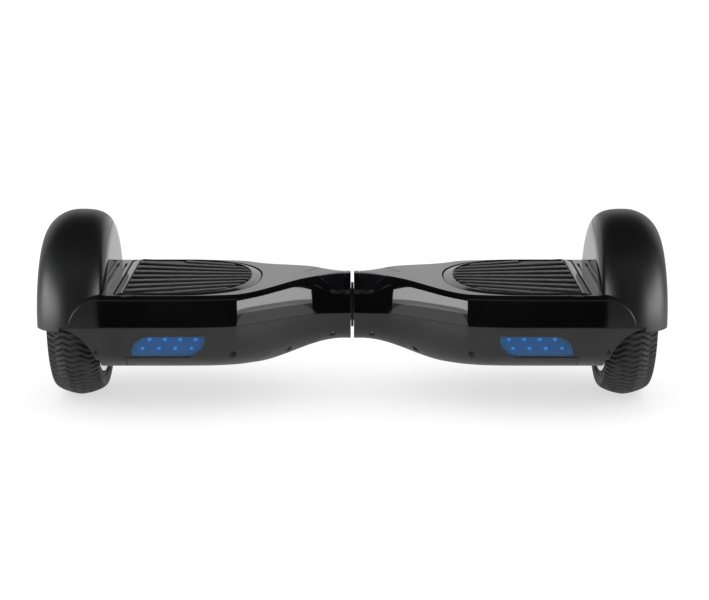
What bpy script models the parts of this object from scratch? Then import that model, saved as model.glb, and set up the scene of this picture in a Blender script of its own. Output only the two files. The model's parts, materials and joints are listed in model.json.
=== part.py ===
"""Self balancing hoverboard: two half boards that twist against each other, each on a hub motor wheel.

Metres, +Z up, X along the board, -Y to the front.  The origin is on the ground under the middle.
Each piece is modelled for the right half (X > 0); the left half is its mirror image.
"""

from math import cos, pi, radians, sin, sqrt

import bmesh
import bpy
from mathutils import Matrix, Vector

# Driving dimensions of the whole board
WHEEL_RADIUS = 0.085
AXLE_Z = WHEEL_RADIUS
PIVOT_Z = 0.0865
SPLIT_Z = 0.085
HALF_GAP = 0.0015
WALL = 0.003
CLEAR = 0.0003

# Body
NECK_RADIUS = 0.0325
HALF_DEPTH = 0.094
FLARE_START, FLARE_END = 0.030, 0.135
FLANK_X, FLANK_DEPTH, FLANK_SLOPE, FLANK_EASE = 0.0526, 0.0445, 0.82, 0.010
EDGE_X, EDGE_DEPTH, EDGE_SLOPE, EDGE_BEND = 0.1065, 0.0890, 0.15, 0.003
NECK_ROUND_START, NECK_ROUND_END = 0.008, 0.044
DECK_Z = 0.1135
DECK_SLOPE_START, DECK_SLOPE_END = 0.035, 0.100
BELLY_Z = 0.0358
BELLY_SLOPE_START, BELLY_SLOPE_END = 0.009, 0.090
DECK_CORNER = 0.0056
SIDE_LEAN = 0.0042
DECK_ROUND_START, BODY_END = 0.234, 0.260
LOWER_END = 0.274

# Fender
FENDER_X = 0.2614
FENDER_HALF_WIDTH = 0.0325
FENDER_CROWN = 0.030
FENDER_RADIUS = 0.0938
FENDER_SHOULDER = FENDER_RADIUS - FENDER_CROWN
FENDER_DROP_X = 0.2695
FENDER_DROP_Z = 0.0805
INNER_WALL_X = FENDER_X - FENDER_HALF_WIDTH
FENDER_SIDES = 36
FENDER_INNER_FULLNESS = 3.0
ARCH_X, ARCH_Z, ARCH_RADIUS = 0.2785, 0.044, 0.0417
WHEEL_SPACE_X, WHEEL_SPACE_RADIUS = 0.2345, 0.0895

# Foot mat
MAT_INNER_X, MAT_OUTER_X = 0.0872, 0.2205
MAT_ROUND_X = 0.165
MAT_HALF_DEPTH = 0.0835
MAT_FULLNESS = 2.4
MAT_BOTTOM_Z, MAT_TOP_Z = 0.1105, 0.1150
MAT_CLEAR = 0.0006

# Wheel
TYRE_X = 0.2607
TYRE_HALF_WIDTH = 0.0232
TYRE_CROWN = 0.0089
TYRE_FULLNESS = 1.5
RIM_RADIUS = 0.0637
CAP_X = 0.2938
AXLE_RADIUS = 0.0075
BEARING_RADIUS = 0.0177

# Neck joint
SHAFT_RADIUS, SHAFT_BORE = 0.0155, 0.011
SLEEVE_RADIUS, SLEEVE_BORE = 0.0212, 0.0192
STOP_X = 0.040

# Lens and openings in the lower shell
LENS_X, LENS_Z, LENS_ROUND = (0.1365, 0.2040), (0.0560, 0.0767), 0.0185
BUTTON_X, SOCKET_X, REAR_Z = 0.140, 0.175, 0.072

COLORS = {  # red, green, blue, roughness, metallic
    "gloss_shell": (0.006, 0.006, 0.007, 0.08, 0.0),
    "matte_shell": (0.045, 0.045, 0.046, 0.42, 0.0),
    "indicator_panel": (0.02, 0.02, 0.022, 0.25, 0.0),
    "lens_blue": (0.01, 0.10, 0.42, 0.15, 0.0),
    "mat_rubber": (0.02, 0.02, 0.02, 0.7, 0.0),
    "tyre_rubber": (0.03, 0.03, 0.03, 0.8, 0.0),
    "cast_aluminium": (0.55, 0.55, 0.56, 0.45, 1.0),
    "silver_cover": (0.75, 0.75, 0.77, 0.3, 1.0),
    "steel": (0.5, 0.5, 0.52, 0.3, 1.0),
    "magnet": (0.2, 0.2, 0.21, 0.4, 1.0),
    "winding": (0.5, 0.22, 0.08, 0.4, 1.0),
    "board_green": (0.02, 0.12, 0.05, 0.5, 0.0),
    "battery_wrap": (0.03, 0.08, 0.30, 0.4, 0.0),
    "bush_polymer": (0.03, 0.03, 0.03, 0.5, 0.0),
    "cable_jacket": (0.02, 0.02, 0.02, 0.5, 0.0),
}


# Scene and small tools

def clear_scene():
    for item in list(bpy.data.objects):
        bpy.data.objects.remove(item)


def make_materials():
    made = {}
    for name, (red, green, blue, roughness, metallic) in COLORS.items():
        material = bpy.data.materials.new(name)
        material.use_nodes = True
        shader = material.node_tree.nodes["Principled BSDF"]
        shader.inputs["Base Color"].default_value = (red, green, blue, 1.0)
        shader.inputs["Roughness"].default_value = roughness
        shader.inputs["Metallic"].default_value = metallic
        material.diffuse_color = (red, green, blue, 1.0)
        made[name] = material
    return made


def new_object(name, mesh):
    item = bpy.data.objects.new(name, mesh)
    parts.objects.link(item)
    return item


def mesh_from(name, bm):
    mesh = bpy.data.meshes.new(name)
    bm.to_mesh(mesh)
    bm.free()
    return new_object(name, mesh)


def bake(item):
    """Replace an object's mesh by its evaluated mesh, in world space, and drop its modifiers."""
    bpy.context.view_layer.update()
    evaluated = item.evaluated_get(bpy.context.evaluated_depsgraph_get())
    mesh = bpy.data.meshes.new_from_object(evaluated)
    mesh.transform(item.matrix_world)
    if item.type != "MESH":
        bm = bmesh.new()
        bm.from_mesh(mesh)
        bmesh.ops.remove_doubles(bm, verts=bm.verts, dist=0.00001)
        bm.to_mesh(mesh)
        bm.free()
        name = item.name
        bpy.data.objects.remove(item)
        return new_object(name, mesh)
    item.modifiers.clear()
    item.data = mesh
    item.matrix_world = Matrix.Identity(4)
    return item


def combine(item, tool, operation):
    """Boolean of two closed solids; the tool is used up."""
    modifier = item.modifiers.new("combine", "BOOLEAN")
    modifier.operation = operation
    modifier.object = tool
    bake(item)
    bpy.data.objects.remove(tool)
    return item


def cut(item, tool):
    return combine(item, tool, "DIFFERENCE")


def join(item, tool):
    return combine(item, tool, "UNION")


def box(name, x, y, z):
    """Box between the two values given for each axis."""
    bm = bmesh.new()
    bmesh.ops.create_cube(bm, size=1.0)
    for vertex in bm.verts:
        for axis, (low, high) in enumerate((x, y, z)):
            vertex.co[axis] = low if vertex.co[axis] < 0 else high
    return mesh_from(name, bm)


def rod(name, radius, start, end, sides=24):
    """Straight round rod between two points."""
    start, end = Vector(start), Vector(end)
    bm = bmesh.new()
    bmesh.ops.create_cone(bm, cap_ends=True, segments=sides, radius1=radius, radius2=radius,
                          depth=(end - start).length)
    turn = (end - start).to_track_quat("Z", "Y").to_matrix().to_4x4()
    bm.transform(Matrix.Translation((start + end) / 2) @ turn)
    return mesh_from(name, bm)


def turned(name, profile, centre_z, sides, closed=True):
    """Solid of revolution about the X axis at a height; profile is (X, radius), outer end first."""
    mesh = bpy.data.meshes.new(name)
    count = len(profile)
    edges = [(i, i + 1) for i in range(count - 1)] + ([(count - 1, 0)] if closed else [])
    mesh.from_pydata([(radius, 0.0, x) for x, radius in profile], edges, [])
    item = new_object(name, mesh)
    screw = item.modifiers.new("turn", "SCREW")
    screw.steps = screw.render_steps = sides
    screw.use_merge_vertices = True
    screw.merge_threshold = 0.00001
    item.matrix_world = Matrix.Translation((0, 0, centre_z)) @ Matrix.Rotation(pi / 2, 4, "Y")
    return bake(item)


def ring(name, x, radii, centre_z=AXLE_Z, sides=20):
    """Plain ring about the X axis, between two X values and two radii."""
    (low, high), (inner, outer) = x, radii
    return turned(name, [(high, inner), (high, outer), (low, outer), (low, inner)], centre_z, sides)


def arc(centre, radii, first, last, steps):
    """Points of an ellipse arc, angles in degrees."""
    angles = [radians(first + (last - first) * i / steps) for i in range(steps + 1)]
    return [(centre[0] + radii[0] * cos(a), centre[1] + radii[1] * sin(a)) for a in angles]


def prism(name, outline, low, high, plane="XY"):
    """Solid with a flat outline and straight sides, along Z (plane XY) or along Y (plane XZ)."""
    bm = bmesh.new()
    if plane == "XY":
        corners = [Vector((a, b, low)) for a, b in outline]
        push = Vector((0, 0, high - low))
    else:
        corners = [Vector((a, low, b)) for a, b in outline]
        push = Vector((0, high - low, 0))
    face = bm.faces.new([bm.verts.new(corner) for corner in corners])
    raised = bmesh.ops.extrude_face_region(bm, geom=[face])["geom"]
    moving = [v for v in raised if isinstance(v, bmesh.types.BMVert)]
    bmesh.ops.translate(bm, vec=push, verts=moving)
    bmesh.ops.recalc_face_normals(bm, faces=bm.faces)
    return mesh_from(name, bm)


# Shape of the body

def smooth(x, start, end):
    """0 before start, 1 after end, with an easy curve between."""
    t = min(max((x - start) / (end - start), 0.0), 1.0)
    return t * t * (3 - 2 * t)


def soft_min(a, b, bend):
    """Smaller of two lengths, with a soft bend where they cross."""
    return (a + b - sqrt((a - b) ** 2 + bend ** 2)) / 2


def soft_max(a, b, bend):
    return (a + b + sqrt((a - b) ** 2 + bend ** 2)) / 2


def half_depth(x):
    """Half the board's depth: the neck, a straight flank, a bend and a long front edge."""
    flank = FLANK_DEPTH + FLANK_SLOPE * (x - FLANK_X)
    edge = soft_min(HALF_DEPTH, EDGE_DEPTH + EDGE_SLOPE * (x - EDGE_X), EDGE_BEND * 0.6)
    return soft_min(soft_max(NECK_RADIUS - 0.0006, flank, FLANK_EASE), edge, EDGE_BEND)


def deck_height(x):
    neck_top = PIVOT_Z + NECK_RADIUS
    height = neck_top + (DECK_Z - neck_top) * smooth(x, DECK_SLOPE_START, DECK_SLOPE_END)
    if x > DECK_ROUND_START:
        run = (x - DECK_ROUND_START) / (FENDER_X - DECK_ROUND_START)
        height = SPLIT_Z + (height - SPLIT_Z) * sqrt(1 - run * run)
    return height


def belly_height(x):
    neck_bottom = PIVOT_Z - NECK_RADIUS
    return neck_bottom + (BELLY_Z - neck_bottom) * smooth(x, BELLY_SLOPE_START, BELLY_SLOPE_END)


def upper_section(x, inset=0.0, foot=SPLIT_Z):
    """Box section above the split with a small crease at the deck; round at the neck."""
    width = half_depth(x) - inset
    top = deck_height(x) - inset
    flat = smooth(x, NECK_ROUND_START, NECK_ROUND_END)
    radius = NECK_RADIUS + (DECK_CORNER - NECK_RADIUS) * flat - inset - 0.0005
    radius = min(radius, top - SPLIT_Z - 0.001)
    rise = top - radius - SPLIT_Z
    side = [(width, foot)] + [(width, SPLIT_Z + rise * share) for share in (0.4, 0.7)]
    side += arc((width - radius, top - radius), (radius, radius), 0, 90, 4)
    side = [(y - SIDE_LEAN * flat * (max(z - SPLIT_Z, 0) / (DECK_Z - SPLIT_Z)) ** 3, z)
            for y, z in side]
    return side + [(-y, z) for y, z in reversed(side)]


def lower_section(x, inset=0.0, brim=SPLIT_Z):
    """Bowl section under the split: a superellipse, round at the neck and fuller under the deck."""
    width = half_depth(x) - inset
    depth = SPLIT_Z - belly_height(x) - inset
    power = 2 / (2 + smooth(x, FLARE_START, FLARE_END))
    steps = 16
    bowl = []
    for i in range(steps + 1):
        angle = pi * i / steps
        across = abs(cos(angle)) ** power * (1 if angle < pi / 2 else -1)
        bowl.append((width * across, SPLIT_Z - depth * sin(angle) ** power))
    if brim > SPLIT_Z:
        bowl = [(width, brim)] + bowl + [(-width, brim)]
    return bowl


def stations(start, end):
    """X values for a loft: close together where the section changes."""
    inner = [0.010, 0.018, 0.026, 0.033, 0.040, 0.048, 0.058, 0.072, 0.088, 0.099]
    bend = [0.103, 0.106, 0.109, 0.113, 0.120, 0.135]
    outer = [0.185, DECK_ROUND_START, 0.240, 0.246, 0.252, 0.257]
    return [start] + [x for x in inner + bend + outer if start < x < end] + [end]


def loft(name, start, end, section, **options):
    """Closed solid through the sections of the body, with flat ends."""
    bm = bmesh.new()
    rings = []
    for x in stations(start, end):
        rings.append([bm.verts.new((x, y, z)) for y, z in section(x, **options)])
    for first, second in zip(rings, rings[1:]):
        for i in range(len(first)):
            j = (i + 1) % len(first)
            bm.faces.new((first[i], first[j], second[j], second[i]))
    bm.faces.new(rings[0])
    bm.faces.new(rings[-1])
    bmesh.ops.recalc_face_normals(bm, faces=bm.faces)
    return mesh_from(name, bm)


def mat_outline(grow=0.0):
    """D-shaped outline of the foot mat: square at the wheel, round towards the neck."""
    reach, depth = MAT_ROUND_X - MAT_INNER_X + grow, MAT_HALF_DEPTH + grow
    steps = 24
    points = []
    for i in range(steps + 1):
        angle = pi / 2 + pi * i / steps
        away = abs(cos(angle)) ** (2 / MAT_FULLNESS)
        side = abs(sin(angle)) ** (2 / MAT_FULLNESS) * (1 if i <= steps / 2 else -1)
        points.append((MAT_ROUND_X - reach * away, depth * side))
    corner = 0.006
    outer = MAT_OUTER_X + grow
    points += arc((outer - corner, -depth + corner), (corner, corner), -90, 0, 4)
    points += arc((outer - corner, depth - corner), (corner, corner), 0, 90, 4)
    return points


def lens_outline(grow=0.0):
    """Leaf outline of the lamp lens in X and Z: two sharp corners and two round ones."""
    low_x, high_x = LENS_X[0] - grow, LENS_X[1] + grow
    low_z, high_z = LENS_Z[0] - grow, LENS_Z[1] + grow
    top = arc((high_x - LENS_ROUND, high_z - LENS_ROUND), (LENS_ROUND, LENS_ROUND), 0, 90, 6)
    bottom = arc((low_x + LENS_ROUND, low_z + LENS_ROUND), (LENS_ROUND, LENS_ROUND), 180, 270, 6)
    return [(high_x, low_z)] + top + [(low_x, high_z)] + bottom


def panel_outline(grow=0.0):
    """Chevron outline of the indicator panel on top of the neck, in X and Y."""
    tip, shoulder, waist, root = 0.0455 + grow, 0.0312 + grow, 0.0213 + grow, 0.0070 - grow
    shoulder_depth, waist_depth = 0.0211 + grow, 0.0275 + grow
    front = [(root, -waist_depth), (waist, -waist_depth), (shoulder, -shoulder_depth)]
    return front + [(tip, 0.0)] + [(x, -y) for x, y in reversed(front)]


# Shells

def fender_profile(thickness):
    """Crown of the fender as (X, radius): round outside, with a tighter corner at its inner wall."""
    width, crown = FENDER_HALF_WIDTH - thickness, FENDER_CROWN - thickness
    points = []
    for i in range(13):
        angle = pi * i / 12
        power = 1.0 if angle < pi / 2 else 2 / FENDER_INNER_FULLNESS
        across = abs(cos(angle)) ** power * (1 if angle < pi / 2 else -1)
        points.append((FENDER_X + width * across, FENDER_SHOULDER + crown * sin(angle) ** power))
    return points


def fender_block():
    """Solid drum of the fender, cut flat under the split, with its outer lip hanging lower."""
    profile = fender_profile(0.0)
    profile = [(profile[0][0], 0.0)] + profile + [(profile[-1][0], 0.0)]
    drum = turned("fender", profile, AXLE_Z, FENDER_SIDES, closed=False)
    cut(drum, box("under_lip", (0.2, 0.31), (-0.11, 0.11), (-0.02, FENDER_DROP_Z)))
    cut(drum, box("under_wall", (0.2, FENDER_DROP_X), (-0.11, 0.11), (-0.03, SPLIT_Z)))
    return drum


def wheel_well():
    profile = fender_profile(WALL)
    outside = (0.31, FENDER_SHOULDER)
    profile = [(outside[0], 0.0), outside] + profile + [(profile[-1][0], 0.0)]
    return turned("wheel_well", profile, AXLE_Z, FENDER_SIDES, closed=False)


def neck_hole(start, end):
    return rod("neck_hole", SLEEVE_RADIUS + 0.0006, (start, 0, PIVOT_Z), (end, 0, PIVOT_Z), 24)


def upper_shell(name):
    shell = loft(name, HALF_GAP, BODY_END, upper_section)
    join(shell, fender_block())
    cut(shell, loft("hollow", HALF_GAP + WALL, INNER_WALL_X, upper_section, inset=WALL,
                    foot=SPLIT_Z - 0.01))
    cut(shell, wheel_well())
    cut(shell, rod("axle_notch", AXLE_RADIUS + 0.001, (0.22, 0, AXLE_Z), (0.24, 0, AXLE_Z)))
    cut(shell, neck_hole(0, 0.01))
    cut(shell, prism("mat_opening", mat_outline(MAT_CLEAR), 0.1, 0.13))
    pocket = loft("pocket", 0.004, 0.06, upper_section, inset=-0.001)
    cut(pocket, loft("pocket_floor", 0.003, 0.07, upper_section, inset=0.0014, foot=SPLIT_Z - 0.01))
    combine(pocket, prism("pocket_edge", panel_outline(CLEAR), 0.1023, 0.13), "INTERSECT")
    return cut(shell, pocket)


def top_panel(name):
    panel = loft(name, 0.004, 0.06, upper_section, inset=0.0001)
    cut(panel, loft("under", 0.003, 0.07, upper_section, inset=0.0011, foot=SPLIT_Z - 0.01))
    return combine(panel, prism("edge", panel_outline(), 0.1026, 0.13), "INTERSECT")


def lower_shell(name):
    shell = loft(name, HALF_GAP, LOWER_END, lower_section)
    hollow = loft("hollow", HALF_GAP + WALL, INNER_WALL_X, lower_section, inset=WALL,
                  brim=SPLIT_Z + 0.01)
    cut(shell, hollow)
    cut(shell, loft("outer_hollow", INNER_WALL_X + WALL, 0.29, lower_section, inset=WALL,
                    brim=SPLIT_Z + 0.01))
    cut(shell, rod("wheel_space", WHEEL_SPACE_RADIUS, (WHEEL_SPACE_X, 0, AXLE_Z),
                   (0.30, 0, AXLE_Z), 48))
    cut(shell, rod("wheel_arch", ARCH_RADIUS, (ARCH_X, -0.12, ARCH_Z), (ARCH_X, 0.12, ARCH_Z), 40))
    cut(shell, box("above", (0.0, 0.3), (-0.11, 0.11), (SPLIT_Z - CLEAR, 0.12)))
    cut(shell, box("lip_room", (FENDER_DROP_X - CLEAR, 0.3), (-0.11, 0.11),
                   (FENDER_DROP_Z - CLEAR, 0.12)))
    cut(shell, rod("axle_notch", AXLE_RADIUS + 0.001, (0.22, 0, AXLE_Z), (0.24, 0, AXLE_Z)))
    cut(shell, neck_hole(0, 0.01))
    cut(shell, prism("lens_opening", lens_outline(CLEAR), -0.1, -0.07, "XZ"))
    return shell


def led_lens(name):
    lens = loft(name, 0.125, 0.215, lower_section, inset=0.0002)
    cut(lens, loft("inside", 0.12, 0.22, lower_section, inset=0.0024, brim=SPLIT_Z + 0.01))
    return combine(lens, prism("edge", lens_outline(), -0.1, -0.07, "XZ"), "INTERSECT")


# Frame inside the shells

def chassis(name):
    """Cast frame: plate under the mat, side rails, axle block and the sleeve of the neck joint."""
    frame = box(name, (0.1050, 0.2260), (-0.0700, 0.0700), (0.0985, 0.1025))
    for side in (-1, 1):
        rail = sorted((side * 0.0610, side * 0.0715))
        join(frame, box("rail", (0.1360, 0.2260), rail, (0.0505, 0.0995)))
        wall = sorted((side * 0.0610, side * 0.0620))
        join(frame, box("rail_foot", (0.1360, 0.2260), wall, (0.0465, 0.0600)))
    join(frame, box("tray", (0.1360, 0.2260), (-0.0620, 0.0620), (0.0455, 0.0495)))
    join(frame, box("axle_block", (0.1960, 0.2260), (-0.0220, 0.0220), (AXLE_Z + CLEAR, 0.0995)))
    join(frame, box("end_beam", (0.2200, 0.2260), (-0.0700, 0.0700), (0.0900, 0.0995)))
    join(frame, box("neck_arms", (0.0520, 0.1100), (-0.0260, 0.0260), (0.0800, 0.1020)))
    join(frame, rod("sleeve", SLEEVE_RADIUS, (0.0018, 0, PIVOT_Z), (0.0620, 0, PIVOT_Z), 24))
    cut(frame, rod("sleeve_bore", SLEEVE_BORE, (0.0, 0, PIVOT_Z), (0.1300, 0, PIVOT_Z), 24))
    cut(frame, rod("axle_seat", AXLE_RADIUS + CLEAR, (0.19, 0, AXLE_Z), (0.23, 0, AXLE_Z)))
    for side in (-1, 1):
        cut(frame, rod("plunger_hole", 0.0036, (0.160, side * 0.045, 0.09),
                       (0.160, side * 0.045, 0.11), 16))
        cut(frame, rod("bolt_hole", 0.0033, (0.211, side * 0.0155, 0.08),
                       (0.211, side * 0.0155, 0.0962), 16))
    return frame


def axle_clamp(name):
    clamp = box(name, (0.1960, 0.2260), (-0.0220, 0.0220), (0.0600, AXLE_Z - CLEAR))
    cut(clamp, rod("axle_seat", AXLE_RADIUS + CLEAR, (0.19, 0, AXLE_Z), (0.23, 0, AXLE_Z)))
    for side in (-1, 1):
        cut(clamp, rod("bolt_hole", 0.0033, (0.211, side * 0.0155, 0.05),
                       (0.211, side * 0.0155, 0.09), 16))
    return clamp


def clamp_bolt(name, side):
    y = side * 0.0155
    bolt = rod(name, 0.0030, (0.211, y, 0.0560), (0.211, y, 0.0958), 16)
    return join(bolt, rod("head", 0.0055, (0.211, y, 0.0545), (0.211, y, 0.0597), 6))


def pivot_bush(name):
    return ring(name, (0.0040, 0.0300), (SHAFT_RADIUS + CLEAR, SLEEVE_BORE - CLEAR), PIVOT_Z, 24)


def center_shaft(name):
    groove = SHAFT_RADIUS - 0.0010
    profile = [(0.0700, SHAFT_BORE), (0.0700, SHAFT_RADIUS), (0.0659, SHAFT_RADIUS),
               (0.0659, groove), (0.0637, groove), (0.0637, SHAFT_RADIUS),
               (-0.0700, SHAFT_RADIUS), (-0.0700, SHAFT_BORE)]
    shaft = turned(name, profile, PIVOT_Z, 24)
    return cut(shaft, box("stop_slot", (STOP_X - 0.0032, STOP_X + 0.0032), (-0.0074, 0.0074),
                          (PIVOT_Z - 0.018, PIVOT_Z - 0.0085)))


def stop_screw(name):
    screw = rod(name, 0.0025, (STOP_X, 0, PIVOT_Z - 0.0225), (STOP_X, 0, PIVOT_Z - 0.0130), 16)
    return join(screw, rod("head", 0.0042, (STOP_X, 0, PIVOT_Z - 0.0245),
                           (STOP_X, 0, PIVOT_Z - 0.0216), 16))


# Wheel and hub motor

def axle(name):
    profile = [(0.2785, 0.0), (0.2785, AXLE_RADIUS), (0.2384, AXLE_RADIUS), (0.2384, 0.0105),
               (0.2335, 0.0105), (0.2335, AXLE_RADIUS), (0.1955, AXLE_RADIUS), (0.1955, 0.0)]
    return turned(name, profile, AXLE_Z, 24, closed=False)


def tyre(name):
    """Tyre section: a pointed round crown on short straight sides."""
    steps = 8
    crown = []
    for i in range(steps + 1):
        angle = pi * i / steps
        across = abs(cos(angle)) ** (2 / TYRE_FULLNESS) * (1 if angle < pi / 2 else -1)
        up = sin(angle) ** (2 / TYRE_FULLNESS)
        crown.append((TYRE_X + TYRE_HALF_WIDTH * across, WHEEL_RADIUS - TYRE_CROWN * (1 - up)))
    outer_bead = (TYRE_X + 0.0185, RIM_RADIUS + CLEAR)
    inner_bead = (TYRE_X - 0.0185, RIM_RADIUS + CLEAR)
    return turned(name, [outer_bead] + crown + [inner_bead], AXLE_Z, 40)


def rim(name):
    """Drum of the hub motor with its outer end plate and bearing seat."""
    seat, bore = BEARING_RADIUS + CLEAR, 0.0565
    profile = [(0.2790, seat), (0.2790, RIM_RADIUS), (0.2425, RIM_RADIUS), (0.2425, bore),
               (0.2715, bore), (0.2715, seat)]
    return turned(name, profile, AXLE_Z, 28)


def rotor_cover(name):
    seat = BEARING_RADIUS + CLEAR
    profile = [(0.2450, seat), (0.2450, 0.0215), (0.2422, 0.0215), (0.2422, 0.0635),
               (0.2388, 0.0615), (0.2388, seat)]
    return turned(name, profile, AXLE_Z, 28)


def hub_cap(name):
    """Domed outer cover of the motor, hollow behind."""
    dome = arc((0.2810, 0.0), (CAP_X - 0.2810, 0.0600), 0, 90, 4)
    dome[0] = (CAP_X, 0.0)
    back = [(0.2793, 0.0600), (0.2793, 0.0540)] + arc((0.2793, 0.0), (0.0110, 0.0540), 90, 0, 3)
    profile = dome + back
    profile[-1] = (0.2903, 0.0)
    return turned(name, profile, AXLE_Z, 28, closed=False)


def stator(name):
    """Toothed core: every tooth a block with a wider tip, on a ring that fits the axle."""
    teeth = 12
    core = ring(name, (0.2510, 0.2670), (AXLE_RADIUS + CLEAR, 0.0380), sides=36)
    pitch = 2 * pi / teeth
    outline = []
    for i in range(teeth):
        for radius, turn in ((0.0370, -0.32), (0.0480, -0.20), (0.0518, -0.40), (0.0518, 0.40),
                             (0.0480, 0.20), (0.0370, 0.32)):
            angle = pitch * (i + turn)
            outline.append((radius * cos(angle), radius * sin(angle)))
    ring_of_teeth = prism("teeth", outline, 0.2510, 0.2670)
    ring_of_teeth.matrix_world = (Matrix.Translation((0, 0, AXLE_Z))
                                  @ Matrix.Rotation(pi / 2, 4, "Y"))
    bake(ring_of_teeth)
    cut(ring_of_teeth, rod("middle", 0.0375, (0.24, 0, AXLE_Z), (0.28, 0, AXLE_Z), 36))
    return join(core, ring_of_teeth)


# Foot mat and its switch

def foot_mat(name):
    return prism(name, mat_outline(), MAT_BOTTOM_Z, MAT_TOP_Z)


def plunger(name, side):
    y = side * 0.045
    return rod(name, 0.0030, (0.160, y, 0.0967), (0.160, y, MAT_BOTTOM_Z - CLEAR), 16)


# Pieces of one half only

def heat_sink(name):
    sink = box(name, (-0.1900, -0.1380), (-0.0560, 0.0560), (0.0498, 0.0640))
    for i in range(10):
        y = -0.0510 + 0.0105 * i
        cut(sink, box("slot", (-0.20, -0.13), (y, y + 0.0065), (0.0560, 0.07)))
    return sink


def harness(name):
    """Cable through the hollow shaft, with a plug at each end."""
    cable = rod(name, 0.0040, (-0.0930, 0, PIVOT_Z), (0.0880, 0, PIVOT_Z), 12)
    for x in (-0.0980, 0.0800):
        join(cable, box("plug", (x, x + 0.0130), (-0.0075, 0.0075),
                        (PIVOT_Z - 0.005, PIVOT_Z + 0.005)))
    return cable


def charge_socket(name):
    socket = rod(name, 0.0080, (SOCKET_X, 0.0765, REAR_Z), (SOCKET_X, 0.0895, REAR_Z), 24)
    return cut(socket, rod("socket_bore", 0.0058, (SOCKET_X, 0.0800, REAR_Z),
                           (SOCKET_X, 0.1, REAR_Z), 24))


def charge_cap(name):
    """Rubber flap that fills the recess over the socket."""
    return box(name, (SOCKET_X - 0.0110, SOCKET_X + 0.0110), (0.0899, 0.0921),
               (REAR_Z - 0.0065, REAR_Z + 0.0065))


def cut_rear_openings(shell):
    """Button hole and socket recess at the back of the right lower shell."""
    cut(shell, rod("button_hole", 0.0064, (BUTTON_X, 0.08, REAR_Z), (BUTTON_X, 0.1, REAR_Z), 24))
    cut(shell, box("cap_recess", (SOCKET_X - 0.0113, SOCKET_X + 0.0113), (0.0897, 0.1),
                   (REAR_Z - 0.0068, REAR_Z + 0.0068)))
    return cut(shell, rod("socket_hole", 0.0083, (SOCKET_X, 0.07, REAR_Z),
                          (SOCKET_X, 0.095, REAR_Z), 24))


# The whole board

def add_pair(name, material, make, *arguments):
    """Right piece and its mirror image on the left; returns both."""
    right = make("right_" + name, *arguments)
    mesh = right.data.copy()
    mesh.transform(Matrix.Scale(-1, 4, Vector((1, 0, 0))))
    mesh.flip_normals()
    left = new_object("left_" + name, mesh)
    return finish(left, material), finish(right, material)


def finish(item, material):
    item.data.materials.clear()
    item.data.materials.append(materials[material])
    item.data.shade_smooth()
    item.data.set_sharp_from_angle(angle=radians(30))
    return item


def place_origin(item, x, y, z):
    """Put a moving piece's origin on its joint without moving the piece."""
    item.data.transform(Matrix.Translation((-x, -y, -z)))
    item.location = (x, y, z)


def build_halves():
    add_pair("upper_shell", "gloss_shell", upper_shell)
    shells = add_pair("lower_shell", "matte_shell", lower_shell)
    cut_rear_openings(shells[1])
    finish(shells[1], "matte_shell")
    add_pair("top_panel", "indicator_panel", top_panel)
    add_pair("led_lens", "lens_blue", led_lens)
    add_pair("led_board", "board_green", box, (0.1385, 0.2020), (-0.0795, -0.0780),
             (0.0580, 0.0755))
    frames = add_pair("chassis", "cast_aluminium", chassis)
    cut(frames[1], rod("stop_hole", 0.0029, (STOP_X, 0, PIVOT_Z - 0.03),
                       (STOP_X, 0, PIVOT_Z - 0.015), 16))
    finish(frames[1], "cast_aluminium")
    add_pair("axle_clamp", "cast_aluminium", axle_clamp)
    add_pair("clamp_bolt_front", "steel", clamp_bolt, -1)
    add_pair("clamp_bolt_rear", "steel", clamp_bolt, 1)
    add_pair("pivot_bush", "bush_polymer", pivot_bush)
    add_pair("indicator_board", "board_green", box, (0.024, 0.046), (-0.010, 0.010),
             (0.1095, 0.1107))
    add_pair("sensor_board", "board_green", box, (0.140, 0.180), (-0.055, 0.055), (0.0930, 0.0946))


def build_wheels():
    add_pair("axle", "steel", axle)
    add_pair("stator", "winding", stator)
    turning = []
    turning += add_pair("tyre", "tyre_rubber", tyre)
    turning += add_pair("rim", "cast_aluminium", rim)
    turning += add_pair("hub_cap", "silver_cover", hub_cap)
    turning += add_pair("rotor_cover", "silver_cover", rotor_cover)
    turning += add_pair("magnet_ring", "magnet", ring, (0.2480, 0.2700), (0.0530, 0.0562),
                        AXLE_Z, 28)
    bearing = (AXLE_RADIUS + CLEAR, BEARING_RADIUS)
    turning += add_pair("inner_bearing", "steel", ring, (0.2388, 0.2448), bearing)
    turning += add_pair("outer_bearing", "steel", ring, (0.2722, 0.2787), bearing)
    for item in turning:
        place_origin(item, 0, 0, AXLE_Z)


def build_foot_mats():
    add_pair("foot_mat", "mat_rubber", foot_mat)
    add_pair("plunger_front", "bush_polymer", plunger, -1)
    add_pair("plunger_rear", "bush_polymer", plunger, 1)


def build_neck_joint():
    finish(center_shaft("center_shaft"), "steel")
    finish(ring("thrust_washer", (-0.0012, 0.0012), (0.0165, 0.0215), PIVOT_Z, 24), "bush_polymer")
    finish(ring("circlip", (0.0640, 0.0656), (0.0150, 0.0185), PIVOT_Z, 24), "steel")
    finish(stop_screw("stop_screw"), "steel")
    finish(harness("harness"), "cable_jacket")


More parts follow.
